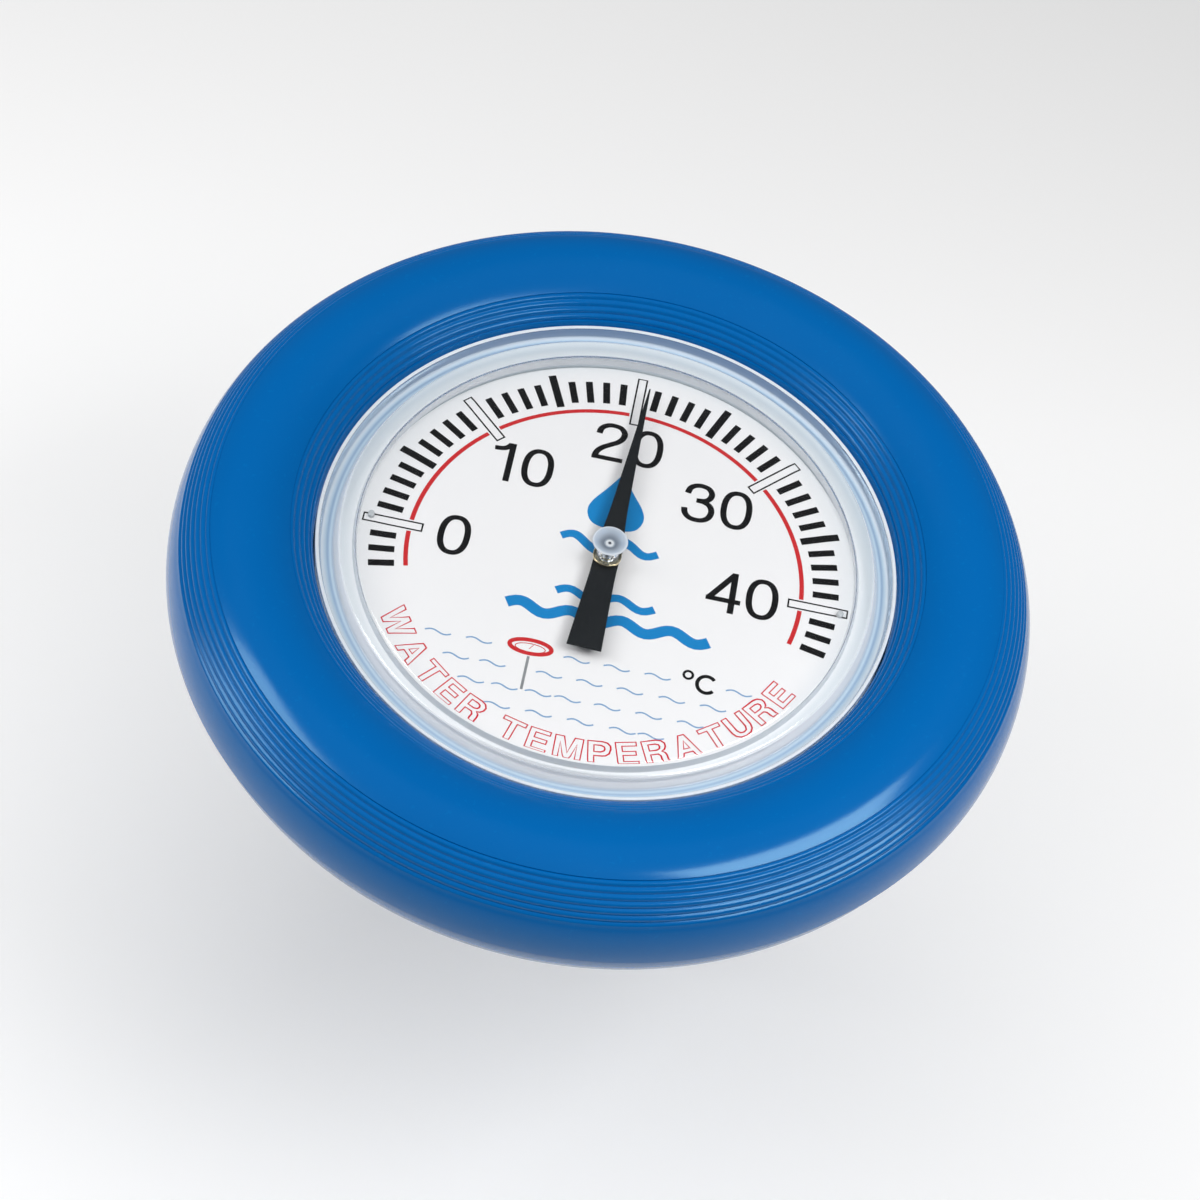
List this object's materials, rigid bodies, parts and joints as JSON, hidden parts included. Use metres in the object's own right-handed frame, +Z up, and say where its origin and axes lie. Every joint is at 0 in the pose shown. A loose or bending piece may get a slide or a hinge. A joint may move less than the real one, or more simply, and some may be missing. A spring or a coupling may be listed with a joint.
{
  "type": "floating pool thermometer",
  "caption": "Round dial thermometer in a hollow float ring, with a clear domed lens, a turning pointer and a bimetal stem that hangs in the water.",
  "frame": {"origin": "centre of the float ring in the plane of its seam, where the water stands when it floats", "axes": "+Z up along the stem and the pointer's arbor, +X towards the 40 degree side of the dial, +Y towards its 20 degree mark"},
  "size_m": [0.18, 0.18, 0.1773],
  "materials": {
    "blue_plastic": "glossy moulded",
    "clear_plastic": "clear polished",
    "white_plastic": "satin moulded",
    "clear_silicone": "translucent soft",
    "dial_print": "printed white sheet",
    "peg_plastic": "translucent moulded",
    "black_paint": "matt black",
    "brass": "turned",
    "steel": "drawn tube",
    "bimetal": "rolled strip",
    "black_rubber": "moulded"
  },
  "bodies": {
    "float": {"float_upper_shell": "blue_plastic", "float_lower_shell": "blue_plastic", "lens_cover": "clear_plastic", "lens_gasket": "clear_silicone", "housing_cup": "white_plastic", "stem_socket": "white_plastic", "dial_plate": "dial_print", "dial_peg_left": "peg_plastic", "dial_peg_right": "peg_plastic", "upper_bearing": "brass", "lower_bearing": "brass", "stem_tube": "steel", "stem_tip_plug": "steel", "stem_collar": "steel", "stem_oring": "black_rubber", "gland_nut": "white_plastic", "coil_anchor": "brass", "bimetal_coil": "bimetal"},
    "pointer_arbor": {"pointer": "black_paint", "pointer_hub": "brass", "arbor": "steel", "coil_clamp": "brass"}
  },
  "joints": [
    {"name": "pointer_turn", "type": "hinge", "parent": "float", "child": "pointer_arbor", "pos_m": [0, 0, 0.004], "axis": [0, 0, -1], "range_deg": [-105.75, 101.25], "stiffness_Nm_per_rad": 0.0005}
  ]
}
